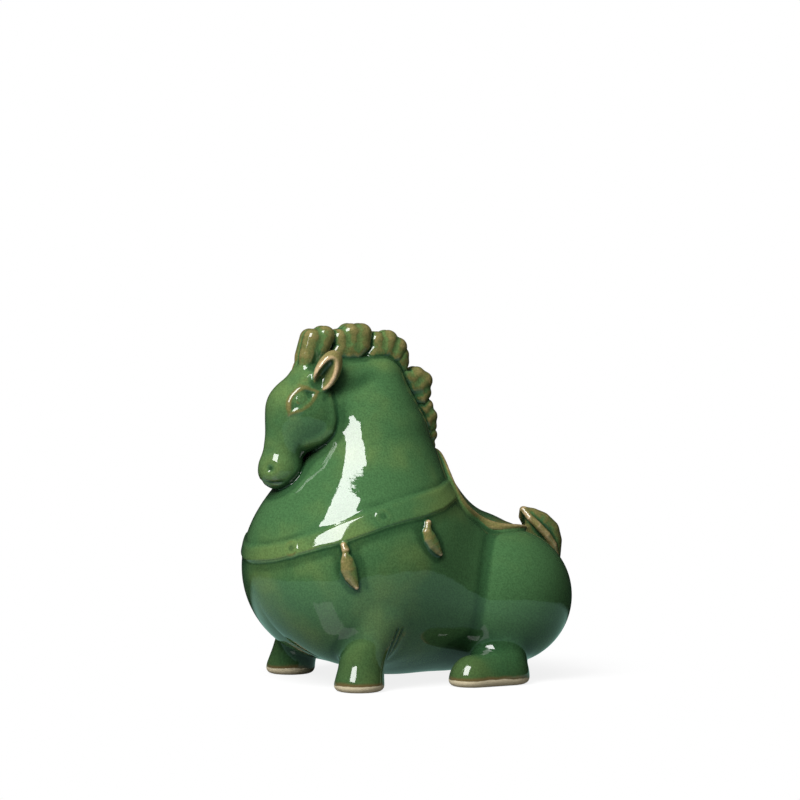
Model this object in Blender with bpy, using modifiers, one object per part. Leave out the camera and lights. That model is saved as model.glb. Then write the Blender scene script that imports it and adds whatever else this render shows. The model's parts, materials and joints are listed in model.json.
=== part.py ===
"""A plump glazed horse with its head bowed, as the hollow castings and the small sprigs that are luted together.

The horse faces -Y, its left side is +X and up is +Z. The origin is on the ground, under the middle of its length.
Sizes are in millimetres, and the Y of a place is counted from midway between the fore and hind feet: at() and span()
turn places and sizes into metres.

The big forms are balls and tapered limbs melted into one skin by a voxel remesh. The body and neck castings are that
skin, hollowed out and cut apart under the breast strap. Every other piece is cut back from the piece it is stuck on
by SLIP, the thickness of the clay slip in the joint.
"""

import math
from collections import namedtuple

import bmesh
import bpy
from mathutils import Matrix, Vector

MM = 0.001

# Driving dimensions.
MIDDLE_Y = 9.84  # middle of the length, counted from midway between the feet
WALL = 4.5  # clay wall of the hollow castings
SLIP = 0.3  # slip joint between two pieces
FORE_Y, HIND_Y = -28.0, 31.0  # fore and hind legs
FOOT_X = 33.8  # fore feet either side of the middle
CHEST_Y = -14.5  # upright axis that the strap, studs and tassels go round
STRAP_RELIEF = 1.1
STRAP_HEIGHT = 9.6
STRAP_SLOPE = 0.32  # rise of the strap towards the withers, for each millimetre of Y
STRAP_Z = 71.5  # middle line of the strap at Y = 0
STRAP_END_Y = 14.0
SWAG_LENGTH, SWAG_DEPTH = 28.0, 1.4  # scallops of the strap's lower edge, which meet at the tassels
SADDLE_RELIEF = 2.2
SADDLE_HALF_WIDTH, SADDLE_HALF_LENGTH, SADDLE_Y = 25.5, 20.5, 38.0
STUD_RADIUS, STUD_RISE = 2.9, 1.5
EAR_RADII, EAR_HOLLOW_RADII = (3.6, 5.4, 8.6), (3.2, 3.3, 6.6)
VENT_RADIUS, VENT_Y = 4.0, 12.0
ROOM = 90.0  # half-size of the blocks that cut the whole figure

Ball = namedtuple("Ball", "centre radii")
Limb = namedtuple("Limb", "start start_radius end end_radius")

# The big forms. A shape off the middle plane is listed once and mirrored.
TRUNK = [
    Ball((0, CHEST_Y, 45), (44.5, 44, 42)),
    Ball((15, -16, 44), (30, 39, 37)),
    Ball((0, 22, 35.5), (40, 45, 33)),
    Ball((21, 42.8, 34.5), (24, 27, 28)),
]
NECK = [
    Limb((0, -9, 120), 12.5, (0, -9, 95), 20.5),
    Limb((0, -23, 121), 8.5, (0, -8, 120), 12),
    Limb((0, -8.5, 95), 20.5, (0, -11, 64), 35),
]
HEAD = [
    Limb((0, -34.5, 118), 9.5, (0, -38.5, 108), 12),
    Limb((0, -41.5, 112), 8.5, (0, -38.5, 112), 9),
    Ball((4, -34.5, 106), (8.5, 11.5, 13.5)),
    Limb((0, -42, 108), 9.5, (0, -47, 87.5), 7.4),
    Ball((0, -47.2, 84.5), (8.2, 8.6, 7.4)),
]
HEAD_CAVITY = [
    Limb((0, -43, 97), 4.5, (0, -37, 109), 7.5),
    Limb((0, -37, 109), 7.5, (0, -12, 112), 5),
]
FORE_LEG = [
    Limb((FOOT_X, FORE_Y, 2), 9.9, (FOOT_X, FORE_Y, 7), 9.6),
    Limb((FOOT_X, FORE_Y, 5), 9.4, (30, FORE_Y + 4, 30), 11.5),
]
HIND_LEG = [
    Limb((37.5, HIND_Y - 12.5, 2), 8.8, (36, HIND_Y + 4, 2), 9.8),
    Limb((37.5, HIND_Y - 12.5, 7), 8.2, (36, HIND_Y + 4, 8), 9.8),
    Limb((35.5, HIND_Y + 4, 8), 9.8, (31, HIND_Y + 8, 26), 12),
]

# Small pieces, each the skin round a few (place, radius) balls. The eye is the left one.
EYE = [
    ((9.2, -46.4, 107.8), 1.5),
    ((9.4, -43.6, 114.2), 2.2),
    ((10.2, -40.4, 109.4), 2.2),
    ((10.2, -36.8, 115.6), 1.6),
]
FORELOCK = [
    ((3, -36, 124), 5.2),
    ((3, -28, 127), 5.2),
    ((3, -35.6, 133.6), 5.0),
    ((3, -30.4, 136.8), 5.4),
    ((3, -28, 135), 5.0),
]
# Locks of the mane from the poll to the withers: two or more roots on the crest, then the tip.
MANE = [
    [((0, -21, 130), 4.6), ((0, -12, 131), 4.6), ((0, -20.6, 137.2), 4.2), ((0, -14.5, 139.2), 4.6)],
    [((0, -8, 131), 4.6), ((0, -1, 130), 4.6), ((0, -4, 135.6), 4.6)],
    [((0, 0, 130), 4.4), ((0, 4, 126), 4.4), ((0, 3.6, 131.6), 4.6)],
    [((0, 5, 123), 4.2), ((0, 11, 113), 4.2), ((0, 14.4, 118), 4.6)],
    [((0, 11, 111), 3.8), ((0, 14, 103), 3.8), ((0, 17.4, 105.4), 4.0)],
    [((0, 14.5, 101), 3.4), ((0, 16.5, 95), 3.2), ((0, 18.2, 96.4), 3.2)],
]
# The tail, from its curled tip down the rump.
TAIL = [
    ((0, 61.2, 64.2), 1.6),
    ((0, 65.5, 61.6), 5.4),
    ((0, 71.5, 55.5), 7.2),
    ((0, 73, 47), 6.4),
    ((0, 73, 38), 5.0),
    ((0, 73, 30), 2.2),
]
# Sprigs round the chest: (degrees from straight ahead, height), and a radius for each ball of a tassel.
FRONT_STUD, REAR_STUD = (32.0, 56.4), (80.9, 68.3)
FRONT_TASSEL = [(60.6, 56.1, 1.9), (60.4, 53.6, 1.4), (60.0, 50.0, 3.0), (61.0, 46.0, 2.9), (64.5, 41.5, 1.2)]
REAR_TASSEL = [(104.5, 64.8, 1.8), (105.5, 62.4, 1.4), (106.5, 59.8, 2.8), (108.5, 56.8, 2.5), (111.5, 53.2, 1.2)]


def span(x, y, z):
    return Vector((x, y, z)) * MM


def at(x, y, z):
    return span(x, y - MIDDLE_Y, z)


def clear_scene():
    for obj in list(bpy.data.objects):
        bpy.data.objects.remove(obj)


def new_collection(name):
    made = bpy.data.collections.new(name)
    bpy.context.scene.collection.children.link(made)
    return made


def glaze(name, colour, roughness):
    material = bpy.data.materials.new(name)
    material.use_nodes = True
    surface = material.node_tree.nodes["Principled BSDF"]
    surface.inputs["Base Color"].default_value = (*colour, 1)
    surface.inputs["Roughness"].default_value = roughness
    surface.inputs["Metallic"].default_value = 0.0
    return material


def new_object(name, bm, collection):
    mesh = bpy.data.meshes.new(name)
    bm.to_mesh(mesh)
    bm.free()
    made = bpy.data.objects.new(name, mesh)
    collection.objects.link(made)
    return made


def evaluated_mesh(obj):
    graph = bpy.context.evaluated_depsgraph_get()
    graph.update()
    return bpy.data.meshes.new_from_object(obj.evaluated_get(graph))


def bake(obj):
    """Applies the modifiers, so that other pieces can share the finished mesh."""
    obj.data = evaluated_mesh(obj)
    obj.modifiers.clear()
    return obj


# Shapes


def add_ball(bm, centre, radii, segments=24):
    place = Matrix.LocRotScale(centre, None, span(*radii))
    bmesh.ops.create_uvsphere(bm, u_segments=segments, v_segments=segments // 2, radius=1, matrix=place)


def add_hull(bm, balls):
    """Adds the convex skin round some (centre, radius) balls."""
    skin = bmesh.new()
    for centre, radius in balls:
        add_ball(skin, centre, (radius, radius, radius), 16)
    hull = bmesh.ops.convex_hull(skin, input=skin.verts)
    inside = {item for item in hull["geom_interior"] if isinstance(item, bmesh.types.BMVert)}
    bmesh.ops.delete(skin, geom=list(inside), context="VERTS")
    mesh = bpy.data.meshes.new("hull")
    skin.to_mesh(mesh)
    skin.free()
    bm.from_mesh(mesh)
    bpy.data.meshes.remove(mesh)


def add_shape(bm, shape, sign, swell):
    if isinstance(shape, Ball):
        x, y, z = shape.centre
        add_ball(bm, at(sign * x, y, z), [radius + swell for radius in shape.radii])
        return
    ends = ((shape.start, shape.start_radius), (shape.end, shape.end_radius))
    add_hull(bm, [(at(sign * x, y, z), radius + swell) for (x, y, z), radius in ends])


def melt(obj, voxel, smoothing, triangles):
    """Melts overlapping shapes into one skin, softens the joins and thins it to about that many triangles."""
    remesh = obj.modifiers.new("melt", "REMESH")
    remesh.mode = "VOXEL"
    remesh.voxel_size = voxel * MM
    soften = obj.modifiers.new("soften", "SMOOTH")
    soften.factor = 0.5
    soften.iterations = smoothing
    bake(obj)
    thin = obj.modifiers.new("thin", "DECIMATE")
    thin.ratio = min(1.0, triangles / (2 * len(obj.data.polygons)))
    return bake(obj)


def form(name, shapes, collection, triangles, swell, voxel, smoothing, sides=(1, -1)):
    """Shapes melted into one skin. They are first let out by swell, as the softening draws them in."""
    bm = bmesh.new()
    for shape in shapes:
        place = shape.centre if isinstance(shape, Ball) else shape.start
        for sign in sides[:1] if place[0] == 0 else sides:
            add_shape(bm, shape, sign, swell)
    return melt(new_object(name, bm, collection), voxel, smoothing, triangles)


def pebble(name, balls, collection, voxel, triangles, sides=(1,)):
    """A small rounded piece: the skin round some balls, and round their mirror images where there are two sides."""
    bm = bmesh.new()
    add_hull(bm, [(at(sign * x, y, z), radius) for (x, y, z), radius in balls for sign in sides])
    return melt(new_object(name, bm, collection), voxel, 2, triangles)


def strand(name, balls, collection, voxel, triangles):
    """A strand that tapers from ball to ball. Their centres are in metres."""
    bm = bmesh.new()
    for pair in zip(balls, balls[1:]):
        add_hull(bm, pair)
    return melt(new_object(name, bm, collection), voxel, 2, triangles)


def block(name, bottom, top, slope, collection, front=-ROOM):
    """A wide box from front to behind the tail. Its top and bottom rise by slope for each unit of Y."""
    low, high = at(-ROOM, front, bottom), at(ROOM, 2 * ROOM, top)
    bm = bmesh.new()
    bmesh.ops.create_cube(bm, size=1, matrix=Matrix.LocRotScale((low + high) / 2, None, high - low))
    for vertex in bm.verts:
        vertex.co.z += slope * (vertex.co.y + MIDDLE_Y * MM)
    return new_object(name, bm, collection)


def drill(name, radius, centre, depth, collection):
    bm = bmesh.new()
    bmesh.ops.create_cone(
        bm, cap_ends=True, segments=20, radius1=radius * MM, radius2=radius * MM, depth=depth * MM,
        matrix=Matrix.Translation(centre),
    )
    return new_object(name, bm, collection)


def prism(name, outline, frame, depth, collection):
    """A flat outline, drawn in the XY plane of a frame and extruded by depth about it."""
    curve = bpy.data.curves.new(name, "CURVE")
    curve.dimensions = "2D"
    curve.fill_mode = "BOTH"
    curve.extrude = depth / 2 * MM
    spline = curve.splines.new("POLY")
    spline.points.add(len(outline) - 1)
    for target, (u, v) in zip(spline.points, outline):
        target.co = (u * MM, v * MM, 0, 1)
    spline.use_cyclic_u = True
    guide = bpy.data.objects.new(name + "_outline", curve)
    collection.objects.link(guide)
    bm = bmesh.new()
    bm.from_mesh(evaluated_mesh(guide))
    bpy.data.objects.remove(guide)
    bmesh.ops.remove_doubles(bm, verts=bm.verts, dist=1e-6)
    bmesh.ops.recalc_face_normals(bm, faces=bm.faces)
    made = new_object(name, bm, collection)
    made.matrix_world = frame
    return made


def grown(obj, name, distance, collection):
    """A copy of obj whose skin stands distance further out."""
    copy = bpy.data.objects.new(name, obj.data.copy())
    collection.objects.link(copy)
    swell = copy.modifiers.new("swell", "DISPLACE")
    swell.strength = distance * MM
    swell.mid_level = 0
    return bake(copy)


def combine(obj, other, operation):
    boolean = obj.modifiers.new(other.name, "BOOLEAN")
    boolean.operation = operation
    boolean.object = other
    boolean.solver = "EXACT"
    return bake(obj)


def cut(obj, *cutters):
    for cutter in cutters:
        combine(obj, cutter, "DIFFERENCE")
    return obj


def on_skin(skin, bearing, height):
    """The place on the skin at a bearing round the chest's axis, and its outward normal."""
    angle = math.radians(bearing)
    outward = Vector((math.sin(angle), -math.cos(angle), 0))
    start = at(0, CHEST_Y, height) + outward * ROOM * MM
    hit, place, normal, _ = skin.ray_cast(start, -outward)
    if not hit:
        raise ValueError(f"no skin at bearing {bearing}, height {height}")
    return place, normal


# Pieces


def strap_line(y):
    """Height of the strap's middle line: it slopes up to the withers, and bows up a little on the shoulder."""
    bow = 3.0 * max(0.0, 1 - ((y + 25) / 32) ** 2)
    return STRAP_Z + STRAP_SLOPE * y + bow


def strap_outline():
    """Side view of the strap, with Y across and Z up."""
    upper, lower = [], []
    for y in range(-66, 21, 3):
        swag = SWAG_DEPTH * abs(math.sin(math.pi * (y + 58) / SWAG_LENGTH))
        upper.append((y, strap_line(y) + STRAP_HEIGHT / 2))
        lower.append((y, strap_line(y) - STRAP_HEIGHT / 2 + swag))
    return upper + lower[::-1]


def saddle_outline():
    """Plan of the saddle: a rounded oblong that narrows a little towards the tail."""
    outline = []
    for step in range(32):
        angle = 2 * math.pi * step / 32
        across, along = math.cos(angle), math.sin(angle)
        squarish = (abs(across) ** 3 + abs(along) ** 3) ** (-1 / 3)
        width = SADDLE_HALF_WIDTH * (1 - 0.1 * along)
        outline.append((across * squarish * width, SADDLE_Y + along * squarish * SADDLE_HALF_LENGTH))
    return outline


def make_castings(parts, cutters, skin, passage):
    """The hollow body and neck, split by a sloping plane that the strap covers. The vent is in the belly."""
    cavity = form("casting_cavity", TRUNK + NECK, cutters, 700, 1.0 - WALL, 3.0, 16)
    joint = STRAP_Z + 1
    above = block("above_joint", joint - SLIP / 2, joint + 2 * ROOM, STRAP_SLOPE, cutters)
    below = block("below_joint", joint - 2 * ROOM, joint + SLIP / 2, STRAP_SLOPE, cutters)
    vent = drill("vent_drill", VENT_RADIUS, at(0, VENT_Y, 6), 24, cutters)
    for name, tools in (("body_shell", (cavity, above, vent)), ("neck_shell", (cavity, below, passage))):
        shell = bpy.data.objects.new(name, skin.data.copy())
        parts.objects.link(shell)
        cut(shell, *tools)


def make_legs(parts, cutters, clear_skin):
    """Four legs with flat soles on the ground."""
    ground = block("ground", -ROOM, 0, 0, cutters)
    for side, sign in (("left", 1), ("right", -1)):
        for end, shapes in (("fore", FORE_LEG), ("hind", HIND_LEG)):
            leg = form(f"{side}_{end}_leg", shapes, parts, 320, 0.5, 2.0, 3, sides=(sign,))
            cut(leg, ground, clear_skin)


def make_strap(parts, cutters, skin, clear_skin):
    """A band round the chest and shoulders, open at the back, where the saddle is."""
    side_view = Matrix(((0, 0, 1, 0), (1, 0, 0, -MIDDLE_Y * MM), (0, 1, 0, 0), (0, 0, 0, 1)))
    region = prism("strap_region", strap_outline(), side_view, 2 * ROOM, cutters)
    strap = combine(grown(skin, "breast_strap", SLIP + STRAP_RELIEF, parts), region, "INTERSECT")
    return cut(strap, clear_skin, block("behind_strap", 0, 2 * ROOM, 0, cutters, front=STRAP_END_Y))


def make_saddle(parts, cutters, skin, clear_skin):
    region = prism("saddle_region", saddle_outline(), Matrix.Translation(at(0, 0, 73)), 46, cutters)
    saddle = combine(grown(skin, "saddle", SLIP + SADDLE_RELIEF, parts), region, "INTERSECT")
    return cut(saddle, clear_skin)


def make_ear(name, sign, parts, cutters, *neighbours):
    """A leaf-shaped cup that leans back and opens to the side."""
    lean = Matrix.Rotation(math.radians(-32), 4, "X") @ Matrix.Rotation(math.radians(sign * 14), 4, "Y")
    place = Matrix.Translation(at(sign * 11, -31.4, 124.2)) @ lean
    cup, hollow = bmesh.new(), bmesh.new()
    add_ball(cup, span(0, 0, 0), EAR_RADII, 16)
    add_ball(hollow, span(sign * 2.6, -0.6, -0.4), EAR_HOLLOW_RADII, 16)
    cup.transform(place)
    hollow.transform(place)
    return cut(new_object(name, cup, parts), new_object(name + "_hollow", hollow, cutters), *neighbours)


def make_stud(name, sign, station, parts, skin, clear_strap):
    """A low round boss on the strap."""
    place, normal = on_skin(skin, sign * station[0], station[1])
    turn = normal.to_track_quat("Z", "Y").to_matrix().to_4x4()
    bm = bmesh.new()
    add_ball(bm, span(0, 0, 0), (STUD_RADIUS, STUD_RADIUS, STUD_RISE), 14)
    bm.transform(Matrix.Translation(place + normal * (STRAP_RELIEF + SLIP) * MM) @ turn)
    return cut(new_object(name, bm, parts), clear_strap)


def make_tassel(name, sign, stations, parts, skin, clear_skin):
    """A knot and a comma-shaped drop that hang below the strap, half sunk in the skin."""
    balls = []
    for bearing, height, radius in stations:
        place, normal = on_skin(skin, sign * bearing, height)
        balls.append((place + normal * 0.6 * MM, radius))
    return cut(strand(name, balls, parts, 0.7, 220), clear_skin)


def make_mane(parts, cutters, clear_skin, clear_head, clear_saddle):
    """The forelock and the locks behind it, each cut back from the one in front. Returns the forelock."""
    forelock = cut(pebble("forelock", FORELOCK, parts, 1.1, 220, sides=(1, -1)), clear_head, clear_skin)
    front = forelock
    for number, balls in enumerate(MANE, 1):
        lock = pebble(f"mane_lock_{number}", balls, parts, 1.1, 220)
        front = cut(lock, clear_skin, clear_saddle, grown(front, f"mane_clearance_{number}", SLIP, cutters))
    return forelock


def make_sprigs(side, sign, parts, cutters, skin, clear_skin, clear_strap, head_tools):
    """An ear, an eye, two studs and two tassels on one side."""
    make_ear(f"{side}_ear", sign, parts, cutters, *head_tools)
    eye = [((sign * x, y, z), radius) for (x, y, z), radius in EYE]
    cut(pebble(f"{side}_eye", eye, parts, 0.8, 160), head_tools[0])
    for end, stud, tassel in (("front", FRONT_STUD, FRONT_TASSEL), ("rear", REAR_STUD, REAR_TASSEL)):
        make_stud(f"{side}_{end}_stud", sign, stud, parts, skin, clear_strap)
        make_tassel(f"{side}_{end}_tassel", sign, tassel, parts, skin, clear_skin)


def finish_pieces(parts, cutters):
    green = glaze("green_glaze", (0.035, 0.135, 0.045), 0.08)
    brown = glaze("brown_glaze", (0.22, 0.14, 0.055), 0.1)
    for obj in cutters.objects:
        obj.hide_render = True
        obj.display_type = "WIRE"
    for obj in parts.objects:
        is_brown = obj.name.endswith(("ear", "tassel"))
        obj.data.materials.clear()
        obj.data.materials.append(brown if is_brown else green)
        obj.data.shade_smooth()
        obj.data.set_sharp_from_angle(angle=math.radians(40))


def build():
    clear_scene()
    parts = new_collection("ceramic_horse")
    cutters = new_collection("cutters")

    skin = form("casting_skin", TRUNK + NECK, cutters, 2200, 1.0, 2.5, 30)
    clear_skin = grown(skin, "skin_clearance", SLIP, cutters)
    clear_strap = grown(skin, "strap_clearance", STRAP_RELIEF + 2 * SLIP, cutters)
    passage = form("head_passage", HEAD_CAVITY, cutters, 220, 0, 1.8, 2)
    make_castings(parts, cutters, skin, passage)
    head = form("head_shell", HEAD, parts, 800, 0.5, 1.6, 6)
    clear_head = grown(head, "head_clearance", SLIP, cutters)
    cut(head, clear_skin, passage)
    make_legs(parts, cutters, clear_skin)

    make_strap(parts, cutters, skin, clear_skin)
    saddle = make_saddle(parts, cutters, skin, clear_skin)
    tail = strand("tail", [(at(*place), radius) for place, radius in TAIL], parts, 1.2, 400)
    clear_saddle = grown(saddle, "saddle_clearance", SLIP, cutters)
    cut(tail, clear_skin, clear_saddle)
    forelock = make_mane(parts, cutters, clear_skin, clear_head, clear_saddle)
    head_tools = (clear_head, clear_skin, grown(forelock, "forelock_clearance", SLIP, cutters))
    for side, sign in (("left", 1), ("right", -1)):
        make_sprigs(side, sign, parts, cutters, skin, clear_skin, clear_strap, head_tools)
    finish_pieces(parts, cutters)


build()
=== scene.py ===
"""A plump horse with its head bowed, in glossy green glaze over buff clay, on a pale studio floor.

The figure is sculpted as distance fields. Each shape is a function that gives, for many points at once,
how far they are outside the shape (negative inside). Shapes melt into each other with a small radius,
the way glaze fills a joint, and net() turns a field into a mesh. Fields are in millimetres, with Y
counted from midway between the feet. in_frame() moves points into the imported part's frame, in metres.

Each vertex keeps two measures of how the glazed surface bends there: "bend" over about 1 mm and "swell"
over about 4 mm. The glaze thins to brown where it bends out and pools dark where it bends in, so these
two drive the colours of every piece.
"""

import json
import math

import bpy
import numpy as np
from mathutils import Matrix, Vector


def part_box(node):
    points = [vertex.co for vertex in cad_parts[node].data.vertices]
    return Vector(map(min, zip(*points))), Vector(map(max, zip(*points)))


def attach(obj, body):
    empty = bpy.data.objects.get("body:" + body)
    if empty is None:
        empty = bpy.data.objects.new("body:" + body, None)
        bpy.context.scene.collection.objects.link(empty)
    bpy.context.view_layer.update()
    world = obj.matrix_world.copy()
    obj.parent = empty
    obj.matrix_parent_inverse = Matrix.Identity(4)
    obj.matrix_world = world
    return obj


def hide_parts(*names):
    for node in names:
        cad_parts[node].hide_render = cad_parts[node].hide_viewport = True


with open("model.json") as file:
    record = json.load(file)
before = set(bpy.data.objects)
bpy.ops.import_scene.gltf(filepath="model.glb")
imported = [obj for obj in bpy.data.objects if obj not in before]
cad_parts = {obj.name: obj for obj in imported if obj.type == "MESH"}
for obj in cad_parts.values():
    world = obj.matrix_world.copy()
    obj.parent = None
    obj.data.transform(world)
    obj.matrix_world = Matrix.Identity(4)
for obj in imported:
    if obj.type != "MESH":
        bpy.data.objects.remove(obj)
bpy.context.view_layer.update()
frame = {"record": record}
MM = 0.001
MOUNTS = {mount["name"]: mount for mount in frame["record"]["mounts"]}

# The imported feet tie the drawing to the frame.
FORE_Y, HIND_Y = -28.0, 31.0  # fore and hind legs, counted from midway between the feet
FOOT_X = MOUNTS["left_fore_sole"]["pos_m"][0] / MM
MIDDLE_Y = FORE_Y - MOUNTS["left_fore_sole"]["pos_m"][1] / MM
VOXEL = 0.66  # of the casting
FINE_VOXEL = 0.36  # of the small pieces
SOLE_ROUNDING = 3.0
VENT_Y = 12.0  # the hole that lets air out in the kiln
VENT_RADIUS = 3.6
CHEST_Y = -14.5  # the chest's upright axis
FAR = 30.0  # distance given to points well away from a small piece
PROBES = {"bend": 0.9, "swell": 4.0}  # half-widths of the samples that measure sharp and broad curvature


def middle(node):
    """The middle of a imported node's box, in millimetres, with Y counted as in the fields."""
    low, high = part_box(node)
    x, y, z = ((a + b) / 2 / MM for a, b in zip(low, high))
    return x, y + MIDDLE_Y, z


# Distance fields. p is an array of 3 rows: x, y and z.


def ball(p, centre, radii, pitch=0.0):
    """An ellipsoid. Pitch, in degrees, tips its +Y end up."""
    x, y, z = (p[axis] - centre[axis] for axis in range(3))
    if pitch:
        c, s = math.cos(math.radians(pitch)), math.sin(math.radians(pitch))
        y, z = c * y + s * z, c * z - s * y
    scaled = [value / radius for value, radius in zip((x, y, z), radii)]
    reach = np.sqrt(sum(value**2 for value in scaled)) + 1e-6
    slope = np.sqrt(sum((value / radius) ** 2 for value, radius in zip(scaled, radii))) + 1e-6
    return reach * (reach - 1) / slope


def limb(p, a, a_radius, b, b_radius):
    """A limb that tapers from a ball at a to a ball at b."""
    along = [end - start for start, end in zip(a, b)]
    offset = [p[axis] - a[axis] for axis in range(3)]
    length2 = sum(value**2 for value in along)
    drop = a_radius - b_radius
    t = sum(value * step for value, step in zip(offset, along)) / length2
    across = np.sqrt(sum((value - t * step) ** 2 for value, step in zip(offset, along)))
    t = np.clip(t - across * drop / (length2 * math.sqrt(max(1 - drop**2 / length2, 1e-6))), 0, 1)
    gap = np.sqrt(sum((value - t * step) ** 2 for value, step in zip(offset, along)))
    return gap - a_radius + t * drop


def strand(p, stations):
    """Limbs end to end through (x, y, z, radius) stations."""
    result = None
    for a, b in zip(stations, stations[1:]):
        piece = limb(p, a[:3], a[3], b[:3], b[3])
        result = piece if result is None else np.minimum(result, piece)
    return result


def melt(a, b, radius):
    """Both shapes, joined with a fillet."""
    near = np.maximum(radius - np.abs(a - b), 0) / radius
    return np.minimum(a, b) - near * near * radius / 4


def carve(a, b, radius):
    """The first shape less the second, with a soft edge."""
    return -melt(-a, b, radius)


def overlap(a, b, radius):
    """What two shapes share, with a rounded edge."""
    return -melt(-a, -b, radius)


def bead(line, skin, radius):
    """A round bead that follows the skin where line, a distance across the skin, is zero."""
    return np.hypot(line, skin) - radius


def mirrored(p):
    return np.stack([np.abs(p[0]), p[1], p[2]])


def nearby(field, low, high):
    """The field worked out only near its box, given in millimetres. Further off it is just FAR."""
    low, high = np.reshape(low, (3, 1)) - 6.0, np.reshape(high, (3, 1)) + 6.0

    def limited(p):
        inside = ((p > low) & (p < high)).all(axis=0)
        result = np.full(p.shape[1], FAR, np.float32)
        if inside.any():
            result[inside] = field(p[:, inside])
        return result

    return limited


# The casting: trunk, haunches, neck, legs and head.


def trunk(p):
    chest = ball(p, (0, CHEST_Y, 49.3), (32.5, 46.1, 40.5))
    shoulders = ball(mirrored(p), (15, -16, 44), (29.6, 39, 37))
    rump = ball(p, (0, 21.5, 35.6), (38.5, 45.5, 33.4))
    belly = ball(p, (0, 0, 34), (30, 36, 31.8))
    return melt(melt(melt(chest, shoulders, 8), rump, 12), belly, 5)


def haunch(side):
    """A round thigh that stands out from the flank. Side is mirrored points."""
    return ball(side, (20.8, 41.2, 33.4), (23.8, 28.3, 27.4))


def neck(p):
    """A narrow crest over a column that flares into the shoulders, and the poll that carries the head."""
    top, root = (0, -5.7, 117.9), (0, -7.9, 95.0)
    poll = limb(p, (0, -23.9, 120.2), 8.0, top, 11.5)
    column = limb(p, top, 11.5, root, 23.8)
    crest = limb(p, (0, -24.4, 123.0), 7.4, (0, -5.7, 121.4), 9.0)
    throat = limb(p, (0, -30, 110), 10.4, (0, -10.5, 104), 18.5)
    flare = limb(mirrored(p), root, 23.6, (6.8, -6.6, 59.6), 29.5)
    return melt(melt(melt(melt(poll, column, 2), crest, 3), throat, 4), flare, 0.5)


def fore_leg(side):
    """A stub that leans out to a wider foot. Side is mirrored points."""
    foot = limb(side, (FOOT_X, FORE_Y - 0.3, 1.5), 9.9, (FOOT_X - 1.6, FORE_Y + 2.0, 14), 8.0)
    return melt(foot, limb(side, (FOOT_X - 1.8, FORE_Y + 2.2, 12), 8.0, (30.5, FORE_Y + 8, 28), 11.5), 3)


def hind_leg(side):
    """A long foot that points forward, under the haunch."""
    toe, heel = (37.0, HIND_Y - 12.0), (35.6, HIND_Y + 3.4)
    foot = limb(side, (*toe, 1.5), 9.2, (*heel, 1.5), 9.6)
    foot = melt(foot, limb(side, (*toe, 5.0), 6.9, (*heel, 5.6), 8.6), 3)
    return melt(foot, limb(side, (34, HIND_Y + 1, 7), 7.6, (27, HIND_Y + 8, 22), 9), 6)


# Stations of the ridges along the brow and round the edge of the cheek.
BROW = [(6.8, -36.9, 122.0, 1.2), (8.0, -41.4, 117.6, 1.5), (8.4, -45.4, 111.6, 1.2)]
JAW = [
    (8.8, -30.8, 115.0, 1.2), (9.8, -29.4, 110.5, 1.6), (10.5, -29.2, 105.5, 1.9),
    (10.6, -30.6, 100.5, 1.9), (9.6, -34.2, 97.6, 1.5), (8.0, -39.0, 96.0, 1.1),
]


def bare_head(p):
    """The head before its eye sockets, nostrils and mouth are pressed in."""
    side = mirrored(p)
    skull = limb(p, (0, -34.5, 118), 9.5, (0, -38.5, 108), 12)
    forehead = limb(p, (0, -40.8, 111.6), 8.5, (0, -38.5, 112), 9)
    cheeks = ball(side, (4, -34.5, 106), (9.1, 11.5, 13.5), pitch=12)
    nose = limb(p, (0, -42, 108), 9.5, (0, -47, 87.5), 7.4)
    muzzle = ball(p, (0, -47.2, 84.5), (8.2, 8.6, 7.4))
    result = melt(melt(melt(melt(skull, forehead, 3), cheeks, 3), nose, 6), muzzle, 4)
    return melt(melt(result, strand(side, BROW), 3), strand(side, JAW), 3)


def head(p):
    """The head with its eye sockets, nostrils and mouth."""
    side = mirrored(p)
    bare = bare_head(p)
    plan, _, _ = eye_plan(side)
    socket = overlap(plan + 1.2, -bare, 0.8)
    nostril = ball(side, (5.9, -54.6, 86.0), (0.9, 1.0, 0.6))
    mouth = limb(side, (0, -56.6, 80.4), 0.1, (7.4, -49.0, 80.4), 0.0)
    result = carve(bare, np.maximum(socket, SOCKET_INNER_X - side[0]), 1.8)
    return carve(carve(result, nostril, 3.2), mouth, 1.6)


SHOULDER_FILLET = 19.0  # where the neck flows into the trunk
HAUNCH_FILLET = 1.6  # the crease in front of the haunch
PADDED_HAUNCH_FILLET = 7.0  # the same crease as the strap and the saddle bridge it


def barrel(p, haunch_fillet):
    """Body, neck and haunches."""
    return melt(melt(trunk(p), neck(p), SHOULDER_FILLET), haunch(mirrored(p)), haunch_fillet)


def hide(p):
    """The body and neck as the strap and the saddle lie on them."""
    return barrel(p, PADDED_HAUNCH_FILLET)


def creases(side, surface):
    """Two fine grooves down the flank behind the fore leg, which follow the surface."""
    line = side[1] + 14.6 - 0.24 * (side[2] - 26)
    pair = np.minimum(bead(line, surface, 0.5), bead(line - 2.3, surface, 0.4))
    return overlap(pair, np.abs(side[2] - 16) - 9, 2)


def skin(p):
    """The body, neck and legs."""
    side = mirrored(p)
    result = barrel(p, HAUNCH_FILLET)
    result = melt(result, fore_leg(side), 4)
    result = melt(result, hind_leg(side), 6)
    return carve(result, creases(side, result), 0.9)


def casting(p):
    """The whole casting, with a groove where the head meets the neck, the vent, and flat soles."""
    body, face = skin(p), head(p)
    vent = limb(p, (0, VENT_Y, -2), VENT_RADIUS, (0, VENT_Y, 4.5), VENT_RADIUS)
    result = melt(body, face, 2.0)
    result = carve(result, bead(face - body, result, 0.2), 1.6)
    return overlap(carve(result, vent, 1.0), -p[2], SOLE_ROUNDING)


# Sprigs. Each entry of SPRIGS is a field with the box that holds it.

SEAT_DEPTH = 2.0  # how far the strap and the saddle reach in under the skin


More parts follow.
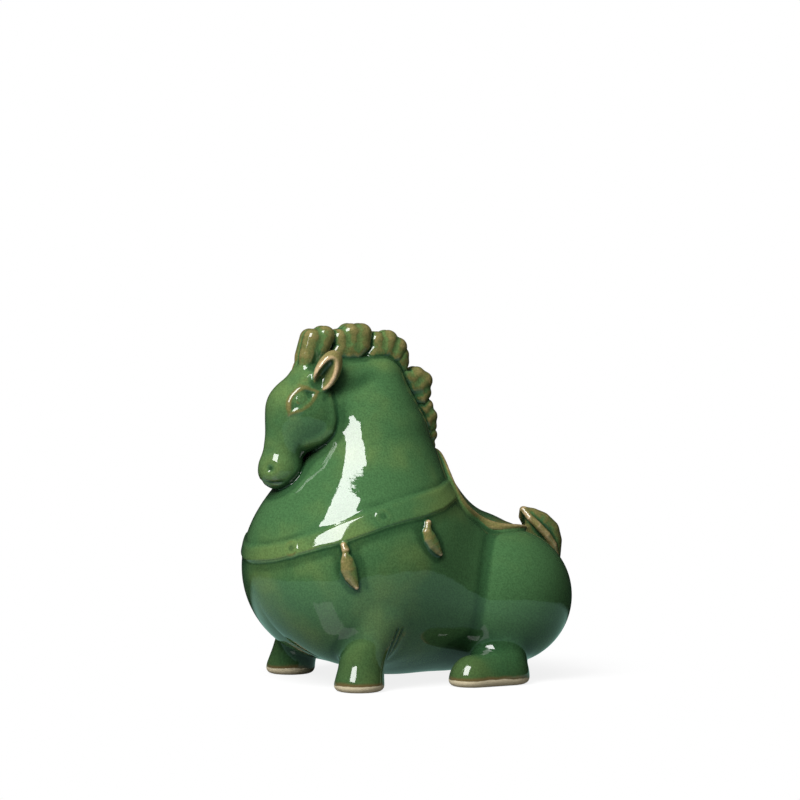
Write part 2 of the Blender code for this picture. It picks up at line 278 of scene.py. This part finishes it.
STRAP_Z, STRAP_SLOPE = 71.5, 0.32  # height of the strap's centre line at Y = 0, and how fast it rises
STRAP_BOW = 3.0  # how much further it rises on the shoulder
STRAP_END_Y = 17.5
SWAG_LENGTH, SWAG_DEPTH = 33.5, 0.8  # scallops of the lower edge, which meet at the tassels


def strap(p):
    """A flat band with a soft upper edge and a crisper lower one, which sags a little between the tassels."""
    surface = hide(p)
    centre_line = STRAP_Z + STRAP_SLOPE * p[1] + STRAP_BOW * np.maximum(0, 1 - ((p[1] + 25) / 32) ** 2)
    half = 3.7 + 1.1 * np.clip((p[1] + 45) / 20, 0, 1)
    height = p[2] - centre_line
    lower = SWAG_DEPTH * np.abs(np.sin(np.pi * (p[1] + 37) / SWAG_LENGTH)) - height - half
    band = overlap(height - half, lower, 1.0)
    band = overlap(surface - 0.65 + 0.12 * height / half, band, 1.8)
    return overlap(overlap(band, p[1] - STRAP_END_Y, 1.0), -surface - SEAT_DEPTH, 0.3)


def near_skin(bearing, height, out=0.0):
    """The place on the skin at a bearing, in degrees, round the chest's upright axis, and out from it."""
    angle = math.radians(bearing)
    outward = np.array([math.sin(angle), -math.cos(angle), 0.0])
    distances = np.arange(70, 5, -0.25)
    ray = np.array([0.0, CHEST_Y, height])[:, None] + outward[:, None] * distances
    first = int(np.argmax(skin(ray) < 0))
    place = ray[:, first]
    return place + out * normals(skin, place[:, None])[:, 0]


def normals(field, p, reach=0.5):
    """Unit gradient of the field."""
    slope = np.stack([field(p + step) - field(p - step) for step in np.eye(3)[:, :, None] * reach])
    return slope / (np.linalg.norm(slope, axis=0) + 1e-9)


def round_chest(node):
    """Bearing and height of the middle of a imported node, as near_skin counts them."""
    x, y, z = middle(node)
    return math.degrees(math.atan2(x, CHEST_Y - y)), z


def stud_at(node):
    """A low round boss on the strap, with a dimple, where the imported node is."""
    bearing, height = round_chest(node)
    place = near_skin(bearing, height - 1.2, 0.9)

    def stud(p):
        side = mirrored(p)
        reach = np.sqrt(sum((side[axis] - place[axis]) ** 2 for axis in range(3)))
        boss = overlap(reach - 3.6, hide(p) - 1.15, 2.6)
        return carve(boss, reach - 1.3, 1.9)

    return stud, place - 4, place + 4


def tassel_at(node, knot, drop):
    """A two-lobed knot with a comma-shaped drop below it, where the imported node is.

    Both are (bearing, height, radius) stations, with the bearing and height counted from the node's middle.
    """
    bearing, height = round_chest(node)

    def station(turn, rise, radius, out):
        return (*near_skin(bearing + turn, height + rise, out), radius)

    knots = [station(*entry, 0.6) for entry in knot]
    drops = [station(*entry, 1.7 - 0.7 * entry[2]) for entry in drop]
    places = np.array([place[:3] for place in knots + drops])

    def tassel(p):
        side = mirrored(p)
        return melt(strand(side, knots), strand(side, drops), 0.8)

    return tassel, places.min(axis=0) - 5, places.max(axis=0) + 5


def fingers(p, spread, pairs, fillet, bow=1.2):
    """Bowed fingers of clay side by side, on both sides of the middle plane.

    Each pair is a root and a tip (y, z, radius).
    """
    side = mirrored(p)
    result = None
    for (root_y, root_z, root), (tip_y, tip_z, tip) in pairs:
        length = math.hypot(tip_y - root_y, tip_z - root_z)
        bend_y, bend_z = bow * (tip_z - root_z) / length, -bow * (tip_y - root_y) / length
        knuckle = (spread, (root_y + tip_y) / 2 + bend_y, (root_z + tip_z) / 2 + bend_z, (root + tip) / 2)
        finger = strand(side, [(spread, root_y, root_z, root), knuckle, (spread * 0.8, tip_y, tip_z, tip)])
        result = finger if result is None else melt(result, finger, fillet)
    return result


FORELOCK = [((-37.2, 122, 2.9), (-33.8, 136.8, 3.9)), ((-32.2, 126, 3.4), (-28.6, 137.6, 4.2))]
MANE = [
    [
        ((-23.6, 130.5, 3.4), (-22.2, 136.8, 3.7)),
        ((-19.4, 130.5, 3.6), (-17.4, 138.6, 4.1)),
        ((-15.8, 130.5, 3.6), (-12.7, 138.4, 4.3)),
    ],
    [
        ((-8.6, 130.0, 3.4), (-6.0, 135.6, 3.8)),
        ((-5.4, 129.5, 3.4), (-1.0, 135.9, 4.0)),
        ((-1.6, 128.0, 3.2), (3.2, 133.0, 3.9)),
    ],
    [((-0.6, 125.5, 2.8), (4.9, 130.0, 3.1)), ((1.6, 123.2, 2.6), (5.4, 127.0, 2.7))],
    [
        ((5.6, 120.8, 3.4), (11.6, 121.7, 3.5)),
        ((8.2, 116.6, 3.4), (14.6, 119.4, 3.8)),
        ((10.0, 112.2, 3.2), (14.6, 114.6, 3.3)),
    ],
    [
        ((11.5, 108.0, 3.2), (15.8, 109.2, 3.0)),
        ((13.0, 104.2, 3.2), (17.2, 105.0, 3.4)),
        ((13.8, 101.0, 2.8), (17.6, 101.2, 2.8)),
    ],
    [((14.3, 98.2, 2.6), (17.8, 97.6, 2.8)), ((15.0, 95.0, 2.4), (17.4, 93.4, 2.4))],
]


HAIR_SPREAD = 2.2  # of the fingers' roots from the middle plane


def lock(p, pairs):
    return fingers(p, HAIR_SPREAD, pairs, 1.3)


def forelock(p):
    return fingers(p, HAIR_SPREAD, FORELOCK, 1.2, bow=-0.8)


EAR = middle("left_ear")
EYE = middle("left_eye")
EYE_TILT = 36.5  # of the line of the eye's corners, in degrees
EYE_HALF_LENGTH = 6.9
EYE_RISE, EYE_DROP = 5.6, 1.4  # of the lids above and below the line of the corners
SOCKET_INNER_X, EYE_INNER_X = 4.0, 5.0  # how near the middle plane the socket and the eye reach


def ear(p):
    """A thick leaf, hollowed so that it opens forwards and outwards."""
    side = mirrored(p)
    leaf = ball(side, EAR, (4.0, 5.2, 8.6), pitch=-28)
    hollow = ball(side, (EAR[0] + 3.4, EAR[1] - 3.6, EAR[2] - 4.3), (5.2, 3.1, 9.6), pitch=-28)
    return carve(leaf, hollow, 1.4)


def eye_plan(side):
    """Distance outside the eye's outline from the side, and places along and above its corners' line."""
    c, s = math.cos(math.radians(EYE_TILT)), math.sin(math.radians(EYE_TILT))
    y, z = side[1] - EYE[1], side[2] - EYE[2]
    along, above = c * y + s * z, c * z - s * y

    def arc(height, rise):
        """Distance outside a round arc through both corners that rises this far."""
        radius = (EYE_HALF_LENGTH**2 + rise**2) / (2 * rise)
        return np.hypot(along, height + radius - rise) - radius

    return np.maximum(arc(above, EYE_RISE), arc(-above, EYE_DROP)), along, above


def eye(p):
    """A heavy upper lid and a faint lower one, round a low eyeball in the socket."""
    side = mirrored(p)
    surface = bare_head(p)
    plan, along, above = eye_plan(side)
    depth = 0.6 + 0.25 * np.clip(-above, 0, 1)
    lids = bead(plan, surface + depth, 0.85 + 0.2 * np.clip(above / 2, -1, 1))
    eyeball = overlap(surface - 0.45, np.hypot(along, above - 0.4 * EYE_RISE) - 3.3, 2.6)
    return overlap(melt(lids, eyeball, 1.0), EYE_INNER_X - side[0], 0.5)


SADDLE_LEAN = 35  # degrees that the saddle's plane leans back
SADDLE_HALF_WIDTH, SADDLE_HALF_LENGTH = 27.0, 23.8


def saddle_plan(p):
    """Distance from the saddle's outline, seen square to its plane: a rounded oblong with a slight waist."""
    c, s = math.cos(math.radians(SADDLE_LEAN)), math.sin(math.radians(SADDLE_LEAN))
    along = c * (p[1] - 37) - s * (p[2] - 65) + 5.8
    waist = 3.0 * np.exp(-((along / 7) ** 2))
    x = (np.abs(p[0]) + waist) / SADDLE_HALF_WIDTH + 1e-3
    y = np.abs(along) / SADDLE_HALF_LENGTH + 1e-3
    total = x**3 + y**3
    slope = total ** (-2 / 3) * np.hypot(x**2 / SADDLE_HALF_WIDTH, y**2 / SADDLE_HALF_LENGTH)
    return (total ** (1 / 3) - 1) / slope


def saddle(p):
    """A cloth with a rolled lip."""
    surface = hide(p)
    plan = saddle_plan(p)
    cloth = overlap(overlap(surface - 0.4, plan, 0.8), -surface - SEAT_DEPTH, 0.3)
    return melt(cloth, bead(plan, surface - 0.4, 1.2), 1.3)


# Stations down the tail from its curled tip, along its middle and along one edge.
TAIL = [
    (0, 61.4, 66.0, 1.2), (0, 64.8, 63.4, 3.2), (0, 68.6, 60.6, 4.4), (0, 71.8, 57.2, 4.8),
    (0, 72.8, 53.0, 4.9), (0, 72.6, 47.4, 4.6), (0, 71.4, 41.0, 4.0), (0, 70.6, 33.0, 2.2),
]
TAIL_EDGE = [
    (0.5, 60.6, 66.0, 1.2), (3.6, 62.0, 62.9, 1.4), (5.6, 64.9, 59.5, 1.5), (6.4, 68.2, 55.9, 1.6),
    (6.2, 71.3, 51.8, 1.5), (5.4, 73.0, 47.2, 1.3), (4.0, 73.2, 41.0, 1.1), (0.5, 72.0, 32.0, 0.9),
]


def tail(p):
    """A fat leaf, arched across, with a bead along each edge."""
    side = mirrored(p)
    flat = np.stack([p[0] * 0.85, p[1], p[2]])
    stem = limb(p, (0, 64.0, 59.0), 2.2, (0, 68.6, 53), 4.2)
    return melt(melt(strand(flat, TAIL), stem, 3), strand(side, TAIL_EDGE), 1.2)


# Stations of the tassels' knots and drops, as tassel_at takes them.
FRONT_KNOT = [(-1.4, 8.2, 1.3), (-0.4, 6.3, 1.6)]
FRONT_DROP = [
    (-0.3, 4.3, 1.4), (0.5, 2.0, 2.8), (1.2, -0.8, 3.4), (2.2, -3.4, 2.9), (3.7, -5.9, 1.8), (5.0, -7.8, 0.8),
]
REAR_KNOT = [(-1.6, 5.6, 1.4), (-2.4, 4.0, 1.4)]
REAR_DROP = [(-3.1, 2.2, 2.2), (-2.0, 0.0, 3.2), (-0.4, -2.3, 3.1), (1.4, -4.5, 2.0), (3.0, -6.4, 0.8)]


def sprig_fields():
    """Name, field and box of every sprig of the left side and the middle."""
    fields = {
        "strap": (strap, (-46, -64, 44), (46, 22, 86)),
        "saddle": (saddle, (-30, 12, 55), (30, 64, 98)),
        "tail": (tail, (-11, 56, 26), (11, 82, 70)),
        "forelock": (forelock, (-9, -43, 118), (9, -23, 144)),
        "ear": (ear, (4, -42, 112), (16, -22, 136)),
        "eye": (eye, (4, -52, 102), (16, -32, 122)),
        "front_stud": stud_at("left_front_stud"),
        "rear_stud": stud_at("left_rear_stud"),
        "front_tassel": tassel_at("left_front_tassel", FRONT_KNOT, FRONT_DROP),
        "rear_tassel": tassel_at("left_rear_tassel", REAR_KNOT, REAR_DROP),
    }
    for number, pairs in enumerate(MANE, 1):
        ys = [end[0] for pair in pairs for end in pair]
        zs = [end[1] for pair in pairs for end in pair]
        box = (-6, min(ys) - 5, min(zs) - 5), (6, max(ys) + 5, max(zs) + 5)
        fields[f"lock_{number}"] = (lambda p, pairs=pairs: lock(p, pairs), *box)
    return fields


PAIRED = ("ear", "eye", "front_stud", "rear_stud", "front_tassel", "rear_tassel")
GLAZE_FILLET = 0.9  # of the glaze round a sprig, apart from those in FILLETS
FILLETS = {"saddle": 1.6, "tail": 2.0, "ear": 1.6, "eye": 1.5, "forelock": 1.6}
SPRIGS = sprig_fields()


def box_of(name):
    """The box of a sprig, or of a pair of sprigs."""
    _, low, high = SPRIGS[name]
    return ((-high[0], *low[1:]), high) if name in PAIRED else (low, high)


SPRIG_FIELDS = {name: nearby(SPRIGS[name][0], *box_of(name)) for name in SPRIGS}


def glazed(p, shrink=0.0):
    """The whole figure as one skin of glaze. Shrink draws the sprigs in under their own meshes."""
    result = casting(p)
    for name, field in SPRIG_FIELDS.items():
        result = melt(result, field(p) + shrink, FILLETS.get(name, GLAZE_FILLET))
    return np.maximum(result, -p[2])


def under_sprigs(p):
    """The casting with the glaze that fills the joint round each sprig."""
    return glazed(p, shrink=0.15)


# Meshes


def in_frame(points):
    """Points in millimetres, one to a row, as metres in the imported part's frame."""
    return (points - (0.0, MIDDLE_Y, 0.0)) * MM


BLOCK_REACH = 1.35  # a block is worked out where the field at its centre is nearer zero than this many sides


def blocks_near(field, low, counts, voxel):
    """Values of the field on a grid of cells, exact near the surface and only right in sign elsewhere."""
    size = 4
    blocks = -(-counts // size)
    centres = np.stack(np.meshgrid(*[np.arange(count) + 0.5 for count in blocks], indexing="ij"))
    points = (low[:, None] + centres.reshape(3, -1) * size * voxel).astype(np.float32)
    rough = field(points).reshape(blocks)
    active = np.abs(rough) < size * voxel * BLOCK_REACH
    for axis in range(3):
        rough = np.repeat(rough, size, axis=axis)
        active = np.repeat(active, size, axis=axis)
    values = np.pad(rough, (0, 1), mode="edge").astype(np.float32)
    nodes = np.zeros(values.shape, bool)
    nx, ny, nz = active.shape
    for i, j, k in np.ndindex(2, 2, 2):
        nodes[i : nx + i, j : ny + j, k : nz + k] |= active
    where = np.argwhere(nodes)
    values[nodes] = field((low + where * voxel).T.astype(np.float32))
    return values


def net(values):
    """Vertices, in grid units, and quads of the surface where the values pass through zero."""
    inside = values < 0
    shape = np.array(values.shape) - 1
    count = np.zeros(shape, np.int8)
    for i, j, k in np.ndindex(2, 2, 2):
        count += inside[i : shape[0] + i, j : shape[1] + j, k : shape[2] + k]
    mixed = (count > 0) & (count < 8)
    cells = np.argwhere(mixed)
    index = np.full(shape, -1, np.int64)
    index[mixed] = np.arange(len(cells))
    total, hits = np.zeros((len(cells), 3)), np.zeros(len(cells))
    quads = []
    for axis in range(3):
        step = np.eye(3, dtype=int)[axis]
        u, v = np.eye(3, dtype=int)[(axis + 1) % 3], np.eye(3, dtype=int)[(axis + 2) % 3]
        for corner in (0 * u, u, v, u + v):
            start, end = values[tuple((cells + corner).T)], values[tuple((cells + corner + step).T)]
            crossed = (start < 0) != (end < 0)
            t = np.where(crossed, start / np.where(crossed, start - end, 1), 0)
            total += crossed[:, None] * (corner + t[:, None] * step)
            hits += crossed
        edge_shape = tuple(np.array(values.shape) - step)
        first = inside[tuple(slice(0, n) for n in edge_shape)]
        second = inside[tuple(slice(s, None) for s in step)]
        edges = np.argwhere(first != second)
        off_low_sides = ((edges * (u + v) > 0) == (u + v > 0)).all(axis=1)
        off_high_sides = ((edges < shape) | (step > 0)).all(axis=1)
        edges = edges[off_low_sides & off_high_sides]
        ring = np.stack([index[tuple((edges - corner).T)] for corner in (0 * u, u, u + v, v)], axis=1)
        outward = first[tuple(edges.T)]
        quads.append(np.where(outward[:, None], ring, ring[:, ::-1]))
    return cells + total / hits[:, None], np.concatenate(quads)


def settle(field, points, voxel):
    """Moves points, one to a row, onto the surface."""
    p = points.T.astype(np.float64)
    for _ in range(3):
        p -= np.clip(field(p), -voxel, voxel) * normals(field, p, 0.25)
    return p.T


def curvature(points, probe):
    """How sharply the glazed skin bends out at each point, per millimetre, or in where it is negative."""
    p = points.T.astype(np.float64)
    steps = np.eye(3)[:, :, None] * probe
    around = sum(glazed(p + step) + glazed(p - step) for step in steps)
    return (around - 6 * glazed(p)) / probe**2


def curves_at(points):
    return {label: curvature(points, probe) for label, probe in PROBES.items()}


def sculpt(field, low, high, voxel):
    """Vertices in millimetres and quads of a field inside a box."""
    low = np.array(low, float) - 2 * voxel
    counts = np.ceil((np.array(high, float) + 2 * voxel - low) / voxel).astype(int)
    vertices, quads = net(blocks_near(field, low, counts, voxel))
    return settle(field, low + vertices * voxel, voxel), quads


def new_piece(name, points, quads, curves, material, slot, *nodes):
    """A smooth-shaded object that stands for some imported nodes."""
    mesh = bpy.data.meshes.new(name)
    mesh.from_pydata(in_frame(points).tolist(), [], quads.tolist())
    for label, values in curves.items():
        mesh.attributes.new(label, "FLOAT", "POINT").data.foreach_set("value", values.astype(np.float32))
    mesh.shade_smooth()
    mesh.materials.append(material)
    piece = bpy.data.objects.new(name, mesh)
    bpy.context.scene.collection.objects.link(piece)
    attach(piece, "root")
    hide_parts(*nodes)
    return piece


# Materials


class Nodes:
    """Short calls for building a node tree."""

    def __init__(self, tree):
        self.tree = tree
        self.tree.nodes.clear()

    def add(self, kind, inputs=(), **settings):
        node = self.tree.nodes.new(kind)
        for name, value in settings.items():
            setattr(node, name, value)
        for name, value in dict(inputs).items():
            self.feed(node.inputs[name], value)
        return node

    def feed(self, socket, value):
        if isinstance(value, bpy.types.NodeSocket):
            self.tree.links.new(value, socket)
        else:
            socket.default_value = value

    def math(self, operation, a, b=0.0, clamp=False):
        return self.add("ShaderNodeMath", {0: a, 1: b}, operation=operation, use_clamp=clamp).outputs[0]

    def ramp(self, value, low, high, to_low=0.0, to_high=1.0):
        """The value mapped smoothly from low..high to to_low..to_high."""
        inputs = {"Value": value, "From Min": low, "From Max": high, "To Min": to_low, "To Max": to_high}
        return self.add("ShaderNodeMapRange", inputs, interpolation_type="SMOOTHSTEP").outputs["Result"]

    def mix(self, factor, a, b):
        """Colour a blended towards colour b."""
        inputs = {0: factor, 6: a, 7: b}
        return self.add("ShaderNodeMix", inputs, data_type="RGBA").outputs[2]

    def noise(self, where, size, detail=2.0, roughness=0.5):
        """Noise whose features are about size metres across."""
        inputs = {"Vector": where, "Scale": 1 / size, "Detail": detail, "Roughness": roughness}
        return self.add("ShaderNodeTexNoise", inputs).outputs["Fac"]


def rgb(r, g, b):
    return (r, g, b, 1.0)


GREEN, YELLOW_GREEN = rgb(0.041, 0.103, 0.038), rgb(0.086, 0.142, 0.044)
# The darkest green serves both for glaze pooled in hollows and for the painted shade on undersides near the
# floor.
POOLED_GLAZE_AND_SHADE = rgb(0.008, 0.032, 0.012)
OLIVE, BROWN, TAN = rgb(0.095, 0.105, 0.034), rgb(0.152, 0.132, 0.048), rgb(0.46, 0.33, 0.20)
RUST = rgb(0.110, 0.070, 0.028)
CLAY, CLAY_DARK = rgb(0.56, 0.50, 0.35), rgb(0.40, 0.34, 0.22)


def glaze(name, thinness, front_run=0.0, patchy=0.5):
    """Green glaze that thins to brown where the clay bends out.

    Thinness is how much it has run off the piece, front_run how much more it has run off the side that
    faces the way the horse does, and patchy how unevenly.
    """
    material = bpy.data.materials.new(name)
    material.use_nodes = True
    n = Nodes(material.node_tree)
    where = n.add("ShaderNodeTexCoord").outputs["Object"]
    bend = n.add("ShaderNodeAttribute", attribute_name="bend").outputs["Fac"]
    swell = n.add("ShaderNodeAttribute", attribute_name="swell").outputs["Fac"]
    drift = n.math("ADD", n.noise(where, 0.028, 3.0), n.ramp(swell, 0.0, 0.18, -0.08, 0.05))
    mottle = n.noise(where, 0.0035, 4.0, 0.6)
    speckle = n.noise(where, 0.0007, 2.0, 0.7)

    wobble = n.math("MULTIPLY", n.math("SUBTRACT", mottle, 0.5), patchy)
    normal = n.add("ShaderNodeNewGeometry").outputs["Normal"]
    facing = n.add("ShaderNodeSeparateXYZ", {"Vector": normal}).outputs
    axes = n.add("ShaderNodeSeparateXYZ", {"Vector": where}).outputs
    left = {"X": n.math("ABSOLUTE", axes["X"]), "Y": axes["Y"], "Z": axes["Z"]}
    place = n.add("ShaderNodeCombineXYZ", left).outputs[0]
    eye_place = in_frame(np.array(EYE)).tolist()
    from_eye = n.add("ShaderNodeVectorMath", {0: place, 1: eye_place}, operation="DISTANCE")
    face = n.ramp(from_eye.outputs["Value"], 0.019, 0.005, 0.0, 0.26)
    run = n.math("SUBTRACT", n.math("ADD", face, thinness), n.math("MULTIPLY", facing["Y"], front_run))
    thin = n.math("ADD", n.math("ADD", bend, run), wobble)
    colour = n.mix(n.ramp(drift, 0.36, 0.72), GREEN, YELLOW_GREEN)
    colour = n.mix(n.ramp(swell, 0.03, -0.08, 0.0, 0.6), colour, POOLED_GLAZE_AND_SHADE)
    # Painted shade: surfaces low down that face the floor are darkened towards the pooled dark green, up to
    # half way.
    foot = n.math("MULTIPLY", n.ramp(axes["Z"], 0.026, 0.010, 0.0, 0.5), n.ramp(facing["Z"], -0.7, -0.3))
    colour = n.mix(foot, colour, POOLED_GLAZE_AND_SHADE)
    pooled = n.ramp(n.math("ADD", bend, n.math("MULTIPLY", face, 2.0)), -0.05, -0.9, 0.0, 0.75)
    colour = n.mix(pooled, colour, POOLED_GLAZE_AND_SHADE)
    colour = n.mix(n.ramp(thin, 0.20, 0.60), colour, OLIVE)
    colour = n.mix(n.ramp(thin, 0.50, 1.05), colour, BROWN)
    colour = n.mix(n.ramp(thin, 0.95, 1.8, 0.0, 0.8), colour, TAN)
    grain = n.ramp(speckle, 0.3, 0.7, 0.82, 1.2)
    layers = {0: 1.0, 6: colour, 7: grain}
    shaded = n.add("ShaderNodeMix", layers, data_type="RGBA", blend_type="MULTIPLY").outputs[2]

    waver = n.math("MULTIPLY", n.math("SUBTRACT", n.noise(where, 0.009), 0.5), 0.0022)
    edge = n.math("ADD", waver, axes["Z"])
    bare = n.ramp(edge, 0.0029, 0.0025)
    rust = n.ramp(edge, 0.0045, 0.0030, 0.0, 0.85)
    shaded = n.mix(rust, shaded, RUST)
    clay = n.mix(n.noise(where, 0.0012, 3.0), CLAY, CLAY_DARK)
    shaded = n.mix(bare, shaded, clay)

    ripple = n.math("ADD", n.noise(where, 0.006, 1.0), n.math("MULTIPLY", n.noise(where, 0.0011, 2.0), 0.12))
    bump = n.add("ShaderNodeBump", {"Strength": 0.25, "Distance": 0.0004, "Height": ripple}).outputs["Normal"]
    surface = n.add(
        "ShaderNodeBsdfPrincipled",
        {
            "Base Color": shaded,
            "Roughness": n.ramp(bare, 0.0, 1.0, 0.32, 0.85),
            "Specular IOR Level": 0.0,
            "Coat Weight": n.math("SUBTRACT", 1.0, bare),
            "Coat Roughness": 0.03,
            "Coat IOR": 1.52,
            "Normal": bump,
            "Coat Normal": bump,
        },
    )
    n.add("ShaderNodeOutputMaterial", {"Surface": surface.outputs["BSDF"]})
    return material


def mirror_piece(points, quads):
    return points * (-1, 1, 1), quads[:, ::-1]


CASTING_NODES = (
    "body_shell", "neck_shell", "head_shell",
    "left_fore_leg", "right_fore_leg", "left_hind_leg", "right_hind_leg",
)
NODE_OF = {"strap": "breast_strap", "saddle": "saddle", "tail": "tail", "forelock": "forelock"}


def build_figure():
    plain = glaze("green_glaze", -0.16)
    mane = glaze("mane_glaze", 0.34, patchy=1.9)
    lip = glaze("lip_glaze", 0.42, patchy=1.2)
    lid = glaze("eye_glaze", -0.50)
    sprig = glaze("ear_glaze", 0.65)
    flat = glaze("strap_glaze", -0.34)
    tassel = glaze("tassel_glaze", 0.20, 0.45, patchy=1.2)
    points, quads = sculpt(under_sprigs, (-48, -64, 0), (48, 82, 146), VOXEL)
    new_piece("glazed_casting", points, quads, curves_at(points), plain, "green_glaze", *CASTING_NODES)
    for name, (_, low, high) in SPRIGS.items():
        voxel = FINE_VOXEL * (1.5 if name in ("strap", "saddle") else 1.0)
        points, quads = sculpt(SPRIGS[name][0], low, high, voxel)
        curves = curves_at(points)
        if name in PAIRED:
            brown = name == "ear" or "tassel" in name
            material = {"ear": sprig, "eye": lid}.get(name, tassel if brown else flat)
            slot = "brown_glaze" if brown else "green_glaze"
            new_piece(f"{name}_left", points, quads, curves, material, slot, f"left_{name}")
            points, quads = mirror_piece(points, quads)
            new_piece(f"{name}_right", points, quads, curves, material, slot, f"right_{name}")
        else:
            node = NODE_OF.get(name, f"mane_{name}")
            material = {"strap": flat, "saddle": lip, "tail": mane}.get(name, mane)
            new_piece(f"{name}_glazed", points, quads, curves, material, "green_glaze", node)


# Studio


def aim(obj, place, target):
    obj.location = place
    obj.rotation_euler = (Vector(target) - Vector(place)).to_track_quat("-Z", "Y").to_euler()


def round_from(azimuth, elevation, distance, centre):
    """A place at an azimuth, counted from straight ahead towards the horse's left, and an elevation."""
    az, el = math.radians(azimuth), math.radians(elevation)
    way = Vector((math.sin(az) * math.cos(el), -math.cos(az) * math.cos(el), math.sin(el)))
    return Vector(centre) + way * distance


def add_camera():
    camera = bpy.data.objects.new("camera", bpy.data.cameras.new("camera"))
    camera.data.lens = 157.5
    bpy.context.scene.collection.objects.link(camera)
    place = round_from(65, 0, 1.4, (0, -MIDDLE_Y * MM, 0.167))
    aim(camera, place, (0.00196, (4.2 - MIDDLE_Y) * MM, 0.1118))
    bpy.context.scene.camera = camera


def add_softbox(name, azimuth, elevation, distance, width, height, radiance):
    light = bpy.data.lights.new(name, "AREA")
    light.shape = "RECTANGLE"
    light.size, light.size_y = width, height
    light.energy = radiance * math.pi * width * height
    lamp = bpy.data.objects.new(name, light)
    bpy.context.scene.collection.objects.link(lamp)
    centre = (0, 0, 0.07)
    aim(lamp, round_from(azimuth, elevation, distance, centre), centre)
    return lamp


def add_world():
    """White behind the figure, dim in its reflections."""
    world = bpy.data.worlds.new("studio")
    world.use_nodes = True
    n = Nodes(world.node_tree)
    path = n.add("ShaderNodeLightPath")
    strength = n.ramp(path.outputs["Is Camera Ray"], 0.0, 1.0, 0.06, 1.0)
    strength = n.math("SUBTRACT", strength, n.math("MULTIPLY", path.outputs["Is Glossy Ray"], 0.045))
    shade = n.add("ShaderNodeBackground", {"Color": rgb(1, 1, 1), "Strength": strength})
    n.add("ShaderNodeOutputWorld", {"Surface": shade.outputs[0]})
    bpy.context.scene.world = world


PAINTED_GLOW_CENTRE = (0.20, -0.093, 0.0)  # of the patch of table that glows, a painted glow standing for the lit table, which the glaze mirrors


def add_floor():
    """A pale round table. Seen directly it fades to white. Mirrored in the glaze it shows a painted glow,
    teal-white near the figure where it stands for the lit table, and fades to dark further off.
    """
    mesh = bpy.data.meshes.new("floor")
    around = [2 * math.pi * step / 96 for step in range(96)]
    mesh.from_pydata([(6 * math.cos(a), 6 * math.sin(a), 0) for a in around], [], [list(range(96))])
    material = bpy.data.materials.new("pale_floor")
    material.use_nodes = True
    n = Nodes(material.node_tree)
    path = n.add("ShaderNodeLightPath")
    where = n.add("ShaderNodeTexCoord").outputs["Object"]
    reach = n.add("ShaderNodeVectorMath", {0: where}, operation="LENGTH").outputs["Value"]
    pale = n.add("ShaderNodeBsdfDiffuse", {"Color": rgb(0.86, 0.86, 0.86)}).outputs[0]
    white = n.add("ShaderNodeEmission", {"Color": rgb(1, 1, 1), "Strength": 1.0}).outputs[0]
    fade = n.ramp(reach, 0.04, 0.12, 0.85, 1.0)
    seen = n.add("ShaderNodeMixShader", {0: fade, 1: pale, 2: white}).outputs[0]
    # Painted glow: in the glaze's reflections the table glows teal-white near the figure instead of being lit
    # by the lamps, and fades to dark further off.
    off = n.add("ShaderNodeVectorMath", {0: where, 1: PAINTED_GLOW_CENTRE}, operation="DISTANCE").outputs["Value"]
    glow = n.math("MULTIPLY", n.ramp(off, 0.30, 0.37, 0.50, 0.015), n.ramp(reach, 0.05, 0.12, 0.6, 1.0))
    painted_table_glow = n.add("ShaderNodeEmission", {"Color": rgb(0.60, 1.12, 0.95), "Strength": glow})
    gloss = n.add("ShaderNodeBsdfGlossy", {"Color": rgb(0.9, 0.9, 0.9), "Roughness": 0.04}).outputs[0]
    mirrored_floor = n.add("ShaderNodeMixShader", {0: 0.045, 1: painted_table_glow.outputs[0], 2: gloss}).outputs[0]
    dim = n.add("ShaderNodeBsdfDiffuse", {"Color": rgb(0.25, 0.25, 0.25)}).outputs[0]
    mirrored_ray = path.outputs["Is Glossy Ray"]
    unseen = n.add("ShaderNodeMixShader", {0: mirrored_ray, 1: dim, 2: mirrored_floor}).outputs[0]
    shade = n.add("ShaderNodeMixShader", {0: path.outputs["Is Camera Ray"], 1: unseen, 2: seen}).outputs[0]
    n.add("ShaderNodeOutputMaterial", {"Surface": shade})
    mesh.materials.append(material)
    floor = bpy.data.objects.new("floor", mesh)
    bpy.context.scene.collection.objects.link(floor)


build_figure()
add_floor()
add_world()
add_softbox("key", azimuth=30.5, elevation=44, distance=1.15, width=0.52, height=0.84, radiance=16.5)
fill = add_softbox("fill", azimuth=62, elevation=50, distance=1.15, width=0.60, height=0.60, radiance=4.9)
fill.visible_glossy = False
add_camera()
bpy.context.scene.view_settings.view_transform = "Standard"
